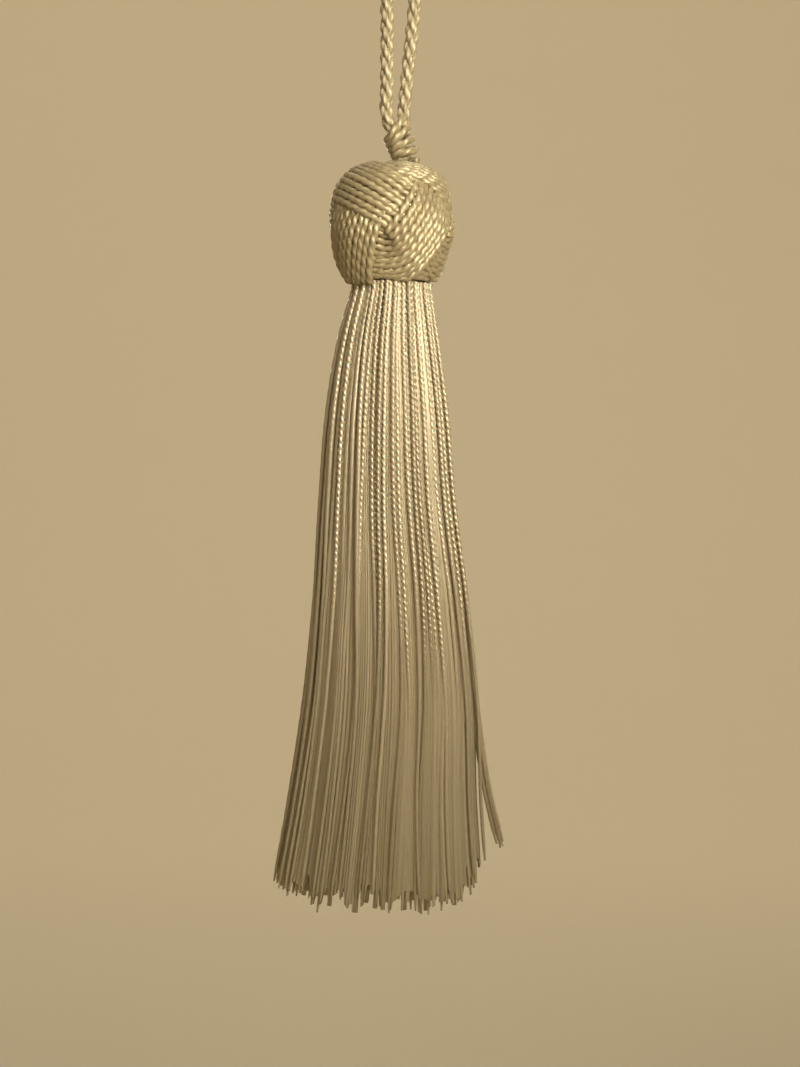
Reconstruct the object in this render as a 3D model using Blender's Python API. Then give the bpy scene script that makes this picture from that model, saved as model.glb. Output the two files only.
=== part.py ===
"""A key tassel in ivory rayon, hanging by its cord loop.

Four maker's pieces: the twisted cord loop that it hangs by, the whipping that gathers the loop's
two legs, the head, which is a Turk's head knot worked round a ball, and the skirt of threads.
World frame: Z up, origin at the inside of the loop's top, where it bears on what it hangs from.
The front of the tassel faces -Y. Sizes below are in millimetres and meshes are made in metres.
"""

import math

import bpy
import numpy as np

MM = 0.001

# Heights below the hanging point
HEAD_CENTRE_Z = -56.3
PIECE_GAP = 0.3

# Hanging loop, a cord of three plies
CORD_DIAMETER = 1.9
CORD_PLIES = 3
CORD_LAY = 6.5
CORD_GROOVE_DEPTH = 0.27
CORD_STEPS_PER_LAY = 10
LOOP_WIDTH = 5.2
LOOP_SHOULDER = 14.0
LEFT_LEG_FOOT_X = -0.92
RIGHT_LEG_FOOT_X = 1.34
LEFT_LEG_MID_X = -1.27
RIGHT_LEG_MID_X = 2.46
LEG_MID_Z = -26.7

# Whipping round the feet of the legs, leaning to the right
NECK_TOP_Z = -42.3
NECK_TURNS = 5
NECK_RIDGE = 0.22
NECK_SIDES = 16
NECK_RINGS_PER_TURN = 3
NECK_TOP = {"x": 0.25, "half_width": 2.1, "half_depth": 1.15}
NECK_FOOT = {"x": 1.55, "half_width": 1.95, "half_depth": 1.75}

# Head: outer profile as height from its centre and radius
HEAD_PROFILE = (
    {"height": 8.30, "radius": 0.0},
    {"height": 8.15, "radius": 1.6},
    {"height": 7.70, "radius": 3.6},
    {"height": 6.90, "radius": 5.4},
    {"height": 5.60, "radius": 6.9},
    {"height": 3.60, "radius": 7.95},
    {"height": 1.20, "radius": 8.45},
    {"height": -1.20, "radius": 8.4},
    {"height": -3.60, "radius": 7.85},
    {"height": -5.80, "radius": 7.0},
    {"height": -7.50, "radius": 6.3},
    {"height": -8.50, "radius": 5.7},
)
HEAD_FOOT_HEIGHT = -8.8
HEAD_FOOT_RADIUS = 4.9
POLE_RADIUS = 0.3
HEAD_COLUMNS = 88
HEAD_ROWS = 36

# Turk's head knot of three leads and four bights, laid with several side by side passes
KNOT_LEADS = 3
KNOT_BIGHTS = 4
KNOT_MIDDLE = 12.1
KNOT_SWING = 7.1
KNOT_SHEAR = -0.30
KNOT_TURN = math.radians(43.0)
BAND_WIDTH = 7.6
BAND_RIDGES = 4
RIDGE_REACH = 0.56
RIDGE_ROUNDING = 0.42
CROSSING_DEPTH = 1.1
CROSSING_SHARPNESS = 1.6
HOLLOW_DEPTH = 1.75
CROWN_DEPTH = 0.35
CROWN_RADIUS = 3.7
CROWN_EDGE = 0.8
KNOT_SAMPLES = 720

# Skirt: outline by its drop below the head's foot
SKIRT_TOP_Z = HEAD_CENTRE_Z + HEAD_FOOT_HEIGHT - PIECE_GAP
SKIRT_OUTLINE = (
    {"drop": 0.0, "x": 0.2, "half_width": 5.3, "half_depth": 5.1},
    {"drop": 7.0, "x": -0.1, "half_width": 6.8, "half_depth": 6.2},
    {"drop": 15.0, "x": -0.1, "half_width": 8.0, "half_depth": 6.8},
    {"drop": 28.0, "x": 0.2, "half_width": 9.1, "half_depth": 7.3},
    {"drop": 41.0, "x": 0.9, "half_width": 10.4, "half_depth": 7.8},
    {"drop": 55.0, "x": 1.2, "half_width": 11.7, "half_depth": 8.2},
    {"drop": 68.0, "x": 0.7, "half_width": 12.8, "half_depth": 8.5},
    {"drop": 83.0, "x": 0.2, "half_width": 14.8, "half_depth": 8.9},
)
ROOT_DEPTH = 1.0
ROOT_RADIUS = 5.25
ROOT_SIDES = 32
STRAND_LAYERS = (
    {"strands": 46, "share": 0.97},
    {"strands": 38, "share": 0.80},
    {"strands": 29, "share": 0.62},
    {"strands": 19, "share": 0.43},
    {"strands": 10, "share": 0.24},
    {"strands": 2, "share": 0.05},
)
STRAND_SIDES = 3
STRAND_STEPS = 7
STRAND_RADIUS_TOP = 0.27
STRAND_RADIUS_FOOT = 0.47
STRAND_LENGTH = 82.3
SIDE_SHORTENING = 4.2
LENGTH_SCATTER = 1.1
ANGLE_SCATTER = 0.08
SPREAD_DROP = 60.0
STEP_BUNCHING = 1.15
WANDER = {"reach": 0.28, "waves": (5, 7), "fall": (13.0, 17.0)}
CREASE = {"x_top": -2.2, "x_foot": -4.6, "start": 34.0, "grows_over": 20.0, "push": 0.5, "reach": 3.0}
STRAY_LOCK = {"start": 50.0, "throw": 3.3, "length": 74.2, "radius": 0.78}

SEED = 7


def material(name, colour, roughness):
    """A Principled material of one colour, given as linear RGB."""
    made = bpy.data.materials.new(name)
    made.use_nodes = True
    shader = made.node_tree.nodes["Principled BSDF"]
    shader.inputs["Base Color"].default_value = (*colour, 1.0)
    shader.inputs["Roughness"].default_value = roughness
    shader.inputs["Metallic"].default_value = 0.0
    return made


def add_object(name, points, faces, surface):
    """A mesh object from points in millimetres."""
    mesh = bpy.data.meshes.new(name)
    mesh.from_pydata((np.asarray(points) * MM).tolist(), [], faces)
    mesh.materials.append(surface)
    mesh.validate()
    made = bpy.data.objects.new(name, mesh)
    bpy.context.collection.objects.link(made)
    return made


def shade(made, degrees):
    """Smooth shading with edges sharper than this angle kept."""
    made.data.shade_smooth()
    made.data.set_sharp_from_angle(angle=math.radians(degrees))


def column(table, name):
    """One named column of a table of rows."""
    return np.array([row[name] for row in table])


def smooth_table(table, key, name, at):
    """A named column read at the given keys through a curve with rounded changes of slope."""
    keys = column(table, key)
    values = column(table, name)
    slopes = np.gradient(values, keys)
    row = np.clip(np.searchsorted(keys, at) - 1, 0, len(keys) - 2)
    span = keys[row + 1] - keys[row]
    u = (at - keys[row]) / span
    rise = values[row + 1] - values[row]
    start_slope = slopes[row] * span - rise
    end_slope = rise - slopes[row + 1] * span
    return values[row] + u * rise + u * (1 - u) * ((1 - u) * start_slope + u * end_slope)


def ease(u):
    """0 below 0, 1 above 1, and a smooth rise between."""
    u = np.clip(u, 0.0, 1.0)
    return u * u * (3.0 - 2.0 * u)


def ring_faces(rings, sides, first=0):
    """Quads between successive rings of points, and the two end caps."""
    faces = []
    for ring in range(rings - 1):
        low = first + ring * sides
        for side in range(sides):
            after = (side + 1) % sides
            faces.append((low + side, low + after, low + sides + after, low + sides + side))
    last = first + (rings - 1) * sides
    faces.append(tuple(first + side for side in reversed(range(sides))))
    faces.append(tuple(last + side for side in range(sides)))
    return faces


def loop_route():
    """Points of the cord's middle line from the left leg's foot over the top to the right leg's."""
    foot_z = NECK_TOP_Z + PIECE_GAP
    crown = LOOP_WIDTH / 2
    top_z = CORD_DIAMETER / 2
    route = [(LEFT_LEG_FOOT_X, foot_z), (LEFT_LEG_FOOT_X - 0.1, foot_z + 5.0)]
    route += [(LEFT_LEG_MID_X, LEG_MID_Z), (-crown + 0.3, top_z - LOOP_SHOULDER)]
    for degrees in range(180, -1, -30):
        angle = math.radians(degrees)
        route.append((crown * math.cos(angle), top_z - crown * (1.0 - math.sin(angle))))
    route += [(crown + 0.15, top_z - LOOP_SHOULDER), (RIGHT_LEG_MID_X, LEG_MID_Z)]
    route += [(RIGHT_LEG_FOOT_X + 0.35, foot_z + 5.0), (RIGHT_LEG_FOOT_X, foot_z)]
    return np.array(route)


def even_curve(route, step):
    """Evenly spaced points of a Catmull-Rom curve through the route, with their distances along it."""
    ends = np.vstack([2 * route[0] - route[1], route, 2 * route[-1] - route[-2]])
    u = np.linspace(0.0, 1.0, 12, endpoint=False)[:, None]
    pieces = []
    for p0, p1, p2, p3 in zip(ends, ends[1:], ends[2:], ends[3:]):
        curve = 2 * p1 + (p2 - p0) * u + (2 * p0 - 5 * p1 + 4 * p2 - p3) * u**2
        pieces.append((curve + (3 * p1 - p0 - 3 * p2 + p3) * u**3) / 2)
    fine = np.vstack(pieces + [route[-1:]])
    along = np.concatenate([[0.0], np.cumsum(np.hypot(*np.diff(fine, axis=0).T))])
    count = int(round(along[-1] / step)) + 1
    even = np.linspace(0.0, along[-1], count)
    return np.column_stack([np.interp(even, along, fine[:, axis]) for axis in (0, 1)]), even


def build_loop(surface):
    """The cord: a ring of crests and grooves, one pair for each ply, turning as it goes along the loop."""
    line, along = even_curve(loop_route(), CORD_LAY / CORD_STEPS_PER_LAY)
    ahead = np.gradient(line, axis=0)
    ahead /= np.linalg.norm(ahead, axis=1)[:, None]
    ahead[0] = (0.0, 1.0)
    ahead[-1] = (0.0, -1.0)
    sides = 2 * CORD_PLIES
    crest = CORD_DIAMETER / 2
    radius = np.where(np.arange(sides) % 2 == 0, crest, crest - CORD_GROOVE_DEPTH)
    turn = 2 * math.pi * (np.arange(sides)[None, :] / sides - along[:, None] / CORD_LAY)
    across = radius * np.cos(turn)
    points = np.stack([
        line[:, :1] + across * ahead[:, 1:],
        radius * np.sin(turn),
        line[:, 1:] - across * ahead[:, :1],
    ], axis=-1).reshape(-1, 3)
    made = add_object("hanging_loop", points, ring_faces(len(line), sides), surface)
    shade(made, 75)
    return made


def build_neck(surface):
    """The whipping: rings carried down a leaning middle line, swelling once for each turn."""
    foot_z = HEAD_CENTRE_Z + HEAD_PROFILE[0]["height"] + PIECE_GAP
    rings = NECK_TURNS * NECK_RINGS_PER_TURN + 1
    share = np.linspace(0.0, 1.0, rings)[:, None]
    angle = np.linspace(0.0, 2 * math.pi, NECK_SIDES, endpoint=False)[None, :]
    swell = NECK_RIDGE * (np.abs(np.sin(math.pi * NECK_TURNS * share)) - 1.0)

    def between(name):
        return NECK_TOP[name] + (NECK_FOOT[name] - NECK_TOP[name]) * share

    points = np.stack([
        between("x") + (between("half_width") + swell) * np.cos(angle),
        -(between("half_depth") + swell) * np.sin(angle),
        NECK_TOP_Z + (foot_z - NECK_TOP_Z) * share + 0.0 * angle,
    ], axis=-1).reshape(-1, 3)
    made = add_object("loop_neck", points, ring_faces(rings, NECK_SIDES), surface)
    shade(made, 50)
    return made


def profile_arc():
    """Distance down the head's profile from its pole to each row of the table."""
    height = column(HEAD_PROFILE, "height")
    radius = column(HEAD_PROFILE, "radius")
    return np.concatenate([[0.0], np.cumsum(np.hypot(np.diff(height), np.diff(radius)))])


def head_profile(arc):
    """Height, radius and outward direction of the head's profile at distances from its pole."""
    rows = [dict(row, arc=value) for row, value in zip(HEAD_PROFILE, profile_arc())]
    height = smooth_table(rows, "arc", "height", arc)
    radius = smooth_table(rows, "arc", "radius", arc)
    step = 0.05
    fall = smooth_table(rows, "arc", "height", arc + step) - smooth_table(rows, "arc", "height", arc - step)
    spread = smooth_table(rows, "arc", "radius", arc + step) - smooth_table(rows, "arc", "radius", arc - step)
    length = np.hypot(fall, spread)
    return height, radius, spread / length, -fall / length


def knot_pass(offset):
    """One pass of the knot: turn about the axis, distance from the pole, and lift over or under.

    The lead goes round KNOT_LEADS times while it swings KNOT_BIGHTS times between the pole and the
    foot. A pass lies beside it at a fixed distance. It is up where it crosses over another lead.
    """
    t = np.linspace(0.0, 2 * math.pi, KNOT_SAMPLES, endpoint=False)
    swing = KNOT_BIGHTS * t
    arc = KNOT_MIDDLE - KNOT_SWING * np.cos(swing)
    turn = KNOT_LEADS * t + KNOT_SHEAR * np.cos(swing)
    radius = head_profile(arc)[1]
    along_turn = radius * (KNOT_LEADS - KNOT_BIGHTS * KNOT_SHEAR * np.sin(swing))
    along_arc = KNOT_BIGHTS * KNOT_SWING * np.sin(swing)
    length = np.hypot(along_turn, along_arc)
    turn = turn - offset * along_arc / length / np.maximum(radius, 1.5)
    arc = arc + offset * along_turn / length
    falling = np.sin(swing) > 0
    over = np.clip(CROSSING_SHARPNESS * np.where(falling, np.cos(swing), -np.cos(swing)), -1.0, 1.0)
    return turn + KNOT_TURN, arc, CROSSING_DEPTH * (over - 1.0) / 2


def knot_relief(turn, arc):
    """How far the knot's surface lies below the head's outer profile, as a number that is 0 or less."""
    ridge = BAND_WIDTH / BAND_RIDGES
    radius = head_profile(arc)[1]
    relief = np.full(turn.shape, -HOLLOW_DEPTH)
    for number in range(BAND_RIDGES):
        offset = (number - (BAND_RIDGES - 1) / 2) * ridge
        pass_turn, pass_arc, lift = knot_pass(offset)
        apart = (turn[..., None] - pass_turn + math.pi) % (2 * math.pi) - math.pi
        distance = np.hypot(apart * radius[..., None], arc[..., None] - pass_arc) / (RIDGE_REACH * ridge)
        round_off = RIDGE_ROUNDING * ridge * (np.sqrt(np.clip(1.0 - distance**2, 0.0, 1.0)) - 1.0)
        height = np.where(distance < 1.0, lift + round_off, -HOLLOW_DEPTH)
        relief = np.maximum(relief, height.max(axis=-1))
    crown = ease((arc - CROWN_RADIUS) / CROWN_EDGE)
    return np.maximum(relief, -CROWN_DEPTH - (HOLLOW_DEPTH - CROWN_DEPTH) * crown)


def build_head(surface):
    """The knotted ball: its profile turned about Z, sunk between the ridges of the knot."""
    arc_end = profile_arc()[-1]
    rows = np.linspace(0.0, arc_end, HEAD_ROWS + 1)[1:]
    turns = np.linspace(0.0, -2 * math.pi, HEAD_COLUMNS, endpoint=False)
    arc, turn = np.meshgrid(rows, turns, indexing="ij")
    height, radius, up, out = head_profile(arc)
    relief = knot_relief(turn, arc)
    radius = np.maximum(radius + out * relief, POLE_RADIUS)
    height = HEAD_CENTRE_Z + height + up * relief
    skin = np.stack([radius * np.sin(turn), -radius * np.cos(turn), height], axis=-1)
    foot_z = HEAD_CENTRE_Z + HEAD_FOOT_HEIGHT
    foot = np.stack([HEAD_FOOT_RADIUS * np.sin(turns), -HEAD_FOOT_RADIUS * np.cos(turns)], axis=-1)
    foot = np.column_stack([foot, np.full(HEAD_COLUMNS, foot_z)])
    points = np.vstack([skin.reshape(-1, 3), foot])
    made = add_object("head", points, ring_faces(HEAD_ROWS + 1, HEAD_COLUMNS), surface)
    shade(made, 80)
    return made


def strand_rows(random):
    """Angle, share of the outline and length of each strand, outer layer first."""
    angle = []
    share = []
    for number, layer in enumerate(STRAND_LAYERS):
        count = layer["strands"]
        even = 2 * math.pi * (np.arange(count) + 0.5 * (number % 2)) / count
        angle.append(even + random.uniform(-ANGLE_SCATTER, ANGLE_SCATTER, count) * 2 * math.pi / count)
        share.append(layer["share"] + random.uniform(-0.015, 0.015, count))
    angle = np.concatenate(angle)
    share = np.concatenate(share)
    side = share * np.cos(angle)
    length = STRAND_LENGTH - SIDE_SHORTENING * np.abs(side) ** 3 * np.where(side > 0, 1.2, 0.8)
    length += random.uniform(-LENGTH_SCATTER, LENGTH_SCATTER, len(angle))
    return angle, share, length


def strand_lines(random):
    """Middle lines of the strands, as rows of strands, steps and places, with the radius at each step."""
    angle, share, length = strand_rows(random)
    stray = np.arange(len(angle)) == 0
    length = np.where(stray, STRAY_LOCK["length"], length)
    steps = np.linspace(0.0, 1.0, STRAND_STEPS + 1) ** STEP_BUNCHING
    start = ROOT_DEPTH / 2
    drop = start + (length[:, None] - start) * steps[None, :]
    x = smooth_table(SKIRT_OUTLINE, "drop", "x", drop)
    half_width = smooth_table(SKIRT_OUTLINE, "drop", "half_width", drop) - STRAND_RADIUS_FOOT / 2
    half_depth = smooth_table(SKIRT_OUTLINE, "drop", "half_depth", drop) - STRAND_RADIUS_FOOT / 2
    sway = WANDER["reach"] * share[:, None] ** 2 * ease(drop / SPREAD_DROP)
    stray_x, stray_y = (
        sway * np.sin(waves * angle[:, None] + 3.0 * share[:, None] + drop / fall)
        for waves, fall in zip(WANDER["waves"], WANDER["fall"])
    )
    x = x + half_width * (share * np.cos(angle))[:, None] + stray_x
    y = half_depth * (share * np.sin(angle))[:, None] + stray_y
    crease_x = CREASE["x_top"] + (CREASE["x_foot"] - CREASE["x_top"]) * drop / STRAND_LENGTH
    away = (x - crease_x) / CREASE["reach"]
    front = ease(-2.0 * y / half_depth)
    push = CREASE["push"] * np.sign(away) * np.exp(-away**2) * front
    x = x + push * ease((drop - CREASE["start"]) / CREASE["grows_over"])
    fling = np.clip((drop - STRAY_LOCK["start"]) / (STRAY_LOCK["length"] - STRAY_LOCK["start"]), 0.0, 1.0)
    x = x + np.where(stray[:, None], STRAY_LOCK["throw"] * fling**1.5, 0.0)
    foot_radius = np.where(stray, STRAY_LOCK["radius"], STRAND_RADIUS_FOOT)[:, None]
    radius = STRAND_RADIUS_TOP + (foot_radius - STRAND_RADIUS_TOP) * ease(drop / SPREAD_DROP)
    return np.stack([x, y, SKIRT_TOP_Z - drop], axis=-1), radius, angle


def build_strands(surface):
    """All strands in one mesh: a small polygon carried down each middle line."""
    lines, radius, facing = strand_lines(np.random.default_rng(SEED))
    corner = 2 * math.pi * np.arange(STRAND_SIDES) / STRAND_SIDES
    around = facing[:, None, None] - corner
    rim = np.stack([np.cos(around), np.sin(around), np.zeros_like(around)], axis=-1)
    points = lines[:, :, None, :] + radius[:, :, None, None] * rim
    per_strand = (STRAND_STEPS + 1) * STRAND_SIDES
    faces = []
    for strand in range(len(lines)):
        faces += ring_faces(STRAND_STEPS + 1, STRAND_SIDES, strand * per_strand)
    return add_object("skirt_strands", points.reshape(-1, 3), faces, surface)


def build_skirt(surface):
    """The root disc under the head with every strand fused into it."""
    angle = np.linspace(0.0, 2 * math.pi, ROOT_SIDES, endpoint=False)
    rim = np.column_stack([ROOT_RADIUS * np.cos(angle) + SKIRT_OUTLINE[0]["x"], -ROOT_RADIUS * np.sin(angle)])
    top = np.column_stack([rim, np.full(ROOT_SIDES, SKIRT_TOP_Z)])
    low = np.column_stack([rim, np.full(ROOT_SIDES, SKIRT_TOP_Z - ROOT_DEPTH)])
    made = add_object("skirt", np.vstack([top, low]), ring_faces(2, ROOT_SIDES), surface)
    strands = build_strands(surface)
    strands.hide_render = True
    strands.display_type = "WIRE"
    join = made.modifiers.new("strands", "BOOLEAN")
    join.operation = "UNION"
    join.solver = "EXACT"
    join.object = strands
    return made


def main():
    for old in list(bpy.data.objects):
        bpy.data.objects.remove(old, do_unlink=True)
    cord = material("ivory_rayon_cord", (0.66, 0.57, 0.38), 0.42)
    whipping = material("ivory_rayon_whipping", (0.62, 0.53, 0.35), 0.45)
    knot = material("ivory_rayon_knot", (0.60, 0.51, 0.33), 0.45)
    thread = material("ivory_rayon_thread", (0.70, 0.62, 0.44), 0.38)
    build_loop(cord)
    build_neck(whipping)
    build_head(knot)
    build_skirt(thread)


main()
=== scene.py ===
import math

import bpy
import numpy as np
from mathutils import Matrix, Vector


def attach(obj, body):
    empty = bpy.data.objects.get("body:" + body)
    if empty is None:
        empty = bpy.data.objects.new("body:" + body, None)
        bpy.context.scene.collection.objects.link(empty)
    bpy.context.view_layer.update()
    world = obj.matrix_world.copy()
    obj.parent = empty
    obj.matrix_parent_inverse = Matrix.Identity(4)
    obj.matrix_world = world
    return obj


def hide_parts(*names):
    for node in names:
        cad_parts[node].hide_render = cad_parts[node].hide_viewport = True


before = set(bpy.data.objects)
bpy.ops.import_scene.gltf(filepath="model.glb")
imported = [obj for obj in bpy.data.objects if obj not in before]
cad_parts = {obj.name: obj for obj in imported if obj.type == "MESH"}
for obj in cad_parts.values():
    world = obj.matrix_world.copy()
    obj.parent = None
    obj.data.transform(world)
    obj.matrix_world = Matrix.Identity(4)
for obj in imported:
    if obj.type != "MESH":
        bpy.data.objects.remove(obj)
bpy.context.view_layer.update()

# Metres in a millimetre, the first random seed, and the millimetres of strand to one unit of its UV map
MM = 0.001
SEED = 11
UV_REPEAT = 10.0

# The photo's frame, read as real sizes in the plane of the tassel's axis
PHOTO_HEIGHT_MM = 142.3
VIEW_CENTRE_X = 2.1
VIEW_CENTRE_Z = -97.8
CAMERA_DISTANCE = 360.0
CAMERA_ROLL = 0.0227

# Levels down the tassel
HEAD_CENTRE_Z = -56.3
SKIRT_TOP_Z = -65.4

# Hanging loop, with the same route as the solid and its feet carried on into the whipping
CORD_DIAMETER = 1.9
CORD_PLIES = 3
CORD_LAY = 6.5
PLY_DIAMETER = 0.98
PLY_LAY = 2.4
LOOP_WIDTH = 5.2
LOOP_SHOULDER = 14.0
LOOP_FOOT_Z = -42.0
LEFT_LEG_FOOT_X = -0.92
RIGHT_LEG_FOOT_X = 1.34
LEFT_LEG_MID_X = -1.27
RIGHT_LEG_MID_X = 2.46
LEG_MID_Z = -26.7
LEG_SUNK = 2.6
LEG_STRAIGHT = 5.0
LEFT_FOOT_SLANT = 1.1
LEFT_LEG_BOW = 0.1
RIGHT_LEG_BOW = 0.35
LEFT_SHOULDER_IN = 0.3
RIGHT_SHOULDER_OUT = 0.15
ROUTE_SAMPLES = 24
PLY_STEPS_PER_LAY = 7
PLY_SECTION = {"lobes": 3, "sides": 12, "depth": 0.30}

# Fine cord of the head and the whipping, two plies
FINE_CORD = 1.0
FINE_LAY = 2.9
FINE_SECTION = {"lobes": 2, "sides": 8, "depth": 0.36}

# Whipping: a cord wound down a leaning, oval cone, which widens and deepens towards its foot
NECK = {
    "turns": 3.9, "steps_per_turn": 60, "start_turn": 0.05, "top_x": 0.3, "shift": 1.5, "top_z": -43.6,
    "height": 4.3, "half_width": 1.12, "widening": 0.42, "half_depth": 1.0, "deepening": 0.3,
    "top_tilt": 1.5, "foot_tilt": -0.15,
}

# A strand is drawn this much thicker than its size, so that it touches its neighbours
PLY_SWELL = 1.06
PASS_SWELL = 1.04
NECK_SWELL = 1.16

# Middle tone of each kind of strand, from 0, the material's deep colour, to 1, its light one, and the
# scatter from strand to strand. The strands that lie deeper, the skirt's inner threads and under layer and
# the head's windings and core, get darker middle tones as painted shade, and the under layer's painted shade
# lessens towards its foot by its foot rise.
PLY_TONE = {"middle": 0.5, "scatter": 0.06}
PASS_TONE = {"middle": 0.46, "scatter": 0.07}
THREAD_TONE = {"middle": 0.5, "scatter": 0.1}
INNER_PAINTED_SHADE_TONE = {"middle": 0.35, "scatter": 0.08}
UNDER_PAINTED_SHADE_TONE = {"middle": 0.40, "scatter": 0.1, "foot_rise": 0.06}
NECK_TONE = 0.46
WINDING_PAINTED_SHADE_TONE = 0.4
CORE_PAINTED_SHADE_TONE = 0.2

# Head: outer profile as height from its centre and radius, closed at both poles
HEAD_PROFILE = (
    {"height": 8.30, "radius": 0.0},
    {"height": 8.15, "radius": 1.6},
    {"height": 7.75, "radius": 3.7},
    {"height": 7.00, "radius": 5.6},
    {"height": 5.70, "radius": 7.1},
    {"height": 3.60, "radius": 7.95},
    {"height": 1.20, "radius": 8.45},
    {"height": -1.20, "radius": 8.4},
    {"height": -3.60, "radius": 7.95},
    {"height": -5.80, "radius": 7.3},
    {"height": -7.50, "radius": 6.6},
    {"height": -8.50, "radius": 5.95},
    {"height": -9.00, "radius": 4.6},
    {"height": -9.20, "radius": 2.4},
    {"height": -9.20, "radius": 0.0},
)
PROFILE_STEP = 0.05
PROFILE_ROWS = 400
HEAD_CORE_DEPTH = 1.5
HEAD_CORE_ROWS = 40
HEAD_CORE_COLUMNS = 96
CORE_POLE_RADIUS = 0.05
KNOT_MEASURE_STEPS = 720
CORE_STREAKS = 40.0

# Turk's head knot of three leads and four bights: the lead's route, then its side by side passes
KNOT_LEADS = 3
KNOT_BIGHTS = 4
KNOT_PASSES = 10
KNOT_MIDDLE = 12.9
KNOT_SWING = 7.8
KNOT_SHEAR = -0.12
KNOT_ROUNDING = -0.02
KNOT_TURN = math.radians(31.0)
KNOT_LEAN = math.radians(14.0)
KNOT_NOD = math.radians(-8.0)
PASS_SPACING = 0.88
CROSSING_DEPTH = 0.72
CROSSING_SHARPNESS = 1.6
STEPS_PER_LAY = 12
PASS_WAVER = {"slow": 0.07, "slow_waves": 5, "quick": 0.05, "quick_waves": 11}
PASS_STREAK_SHIFT = 0.37
PASS_NARROWEST = 1.5

# Windings of the same cord that fill the crown, rim and foot: distances from the pole, turns and depth
WINDING_STEPS_PER_TURN = 140
WINDINGS = (
    {"name": "rim", "start": 19.6, "end": 26.4, "turns": 7.1, "depth": 1.35, "lean": 1.0},
    {"name": "foot", "start": 18.6, "end": 23.0, "turns": 4.6, "depth": 1.3, "lean": 0.0},
    {"name": "crown", "start": 0.6, "end": 6.2, "turns": 5.8, "depth": 1.45, "lean": 1.0},
)

# Skirt: outline by its drop below the head's foot, the same as the solid's
SKIRT_OUTLINE = (
    {"drop": 0.0, "x": 0.2, "half_width": 5.3, "half_depth": 5.1},
    {"drop": 7.0, "x": -0.1, "half_width": 6.8, "half_depth": 6.2},
    {"drop": 15.0, "x": -0.1, "half_width": 8.0, "half_depth": 6.8},
    {"drop": 28.0, "x": 0.2, "half_width": 9.1, "half_depth": 7.3},
    {"drop": 41.0, "x": 0.9, "half_width": 10.4, "half_depth": 7.8},
    {"drop": 55.0, "x": 1.2, "half_width": 11.7, "half_depth": 8.2},
    {"drop": 68.0, "x": 0.7, "half_width": 12.8, "half_depth": 8.5},
    {"drop": 83.0, "x": 0.2, "half_width": 14.8, "half_depth": 8.9},
)

# Threads: the outer ones twisted, the rest plain
THREADS = 232
TWISTED_THREADS = 158
THREAD_DIAMETER = 0.78
THREAD_LAY = 1.7
LAY_SPREAD = 0.06
THREAD_STEPS_PER_TURN = 7
THREAD_SECTION = {"lobes": 2, "sides": 6, "depth": 0.80}
THREAD_PIECES = 5
INNER_SIDES = 5
INNER_THINNESS = 0.8

# Where a thread's twist opens: drop, spread over a stretch and scattered, raised for most on the left
LOOSENING = {
    "start": 28.0, "over": 26.0, "scatter": 7.0, "left_rise": 35.0, "left_share": 0.78,
    "left_from": -0.15, "left_over": 0.4, "top_radius": 0.96, "foot_radius": 0.62, "thins_by": 65.0,
}

# How the threads spread, hang and end
INNER_STEPS = 18
ROOT_RISE = 0.9
EDGE_ALLOWANCE = -0.05
SPREAD_DROP = 50.0
FOOT_CROWDING = 0.45
FOOT_SCATTER = 0.02
THREAD_LENGTH = 80.7
SIDE_SHORTENING = {"left": 2.7, "left_power": 4, "right": 5.4, "right_power": 6}
LENGTH_SCATTER = 1.2
TIP = {"length": 2.6, "taper": 0.45}
LOCKS = {
    "count": 17, "start": 8.0, "gather": 0.42, "sway": 0.16, "wave": 27.0, "lag": 3.0, "longer": 0.7,
}
DRIFT = 0.05
WAVER = {"reach": 0.12, "side_wave": 9.0, "depth_wave": 11.0}
CREASE = {
    "x_top": -2.2, "x_foot": -4.6, "start": 30.0, "grows_over": 20.0, "push": 0.45, "reach": 2.2,
    "steepness": 3.0,
}

# The lock that strays at the right: drop where it starts, its throw at the foot, and its threads' lengths
STRAY = {
    "threads": 4, "outer_pull": 0.5, "start": 50.0, "throw": 3.3, "curl": 1.5, "length": 73.7,
    "shorter": 0.6, "longer": 0.4,
}

# The dense threads under the outer ones, as one ribbed curtain, with the heights round one rib
RIB_PROFILE = (1.0, 0.35, -1.0, 0.35)
UNDER_LAYER = {
    "threads": 190, "ripple": 0.013, "lock_ripple": 0.018, "root_share": 0.912, "foot_share": 0.94,
    "length": 80.2, "length_scatter": 1.4, "rings": 40,
}

# Rayon: the streaks' pattern along a strand, their share of the tone, the tones of the deep and the light
# colour, the change of roughness with the streaks, and their relief in metres
STREAK_SCALE_ALONG = 1.6
STREAK_CONTRAST = 0.35
DEEP_TONE = 0.15
LIGHT_TONE = 0.95
SMOOTHER_BY = 0.07
ROUGHER_BY = 0.09
STREAK_RELIEF = 0.00004

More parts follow.
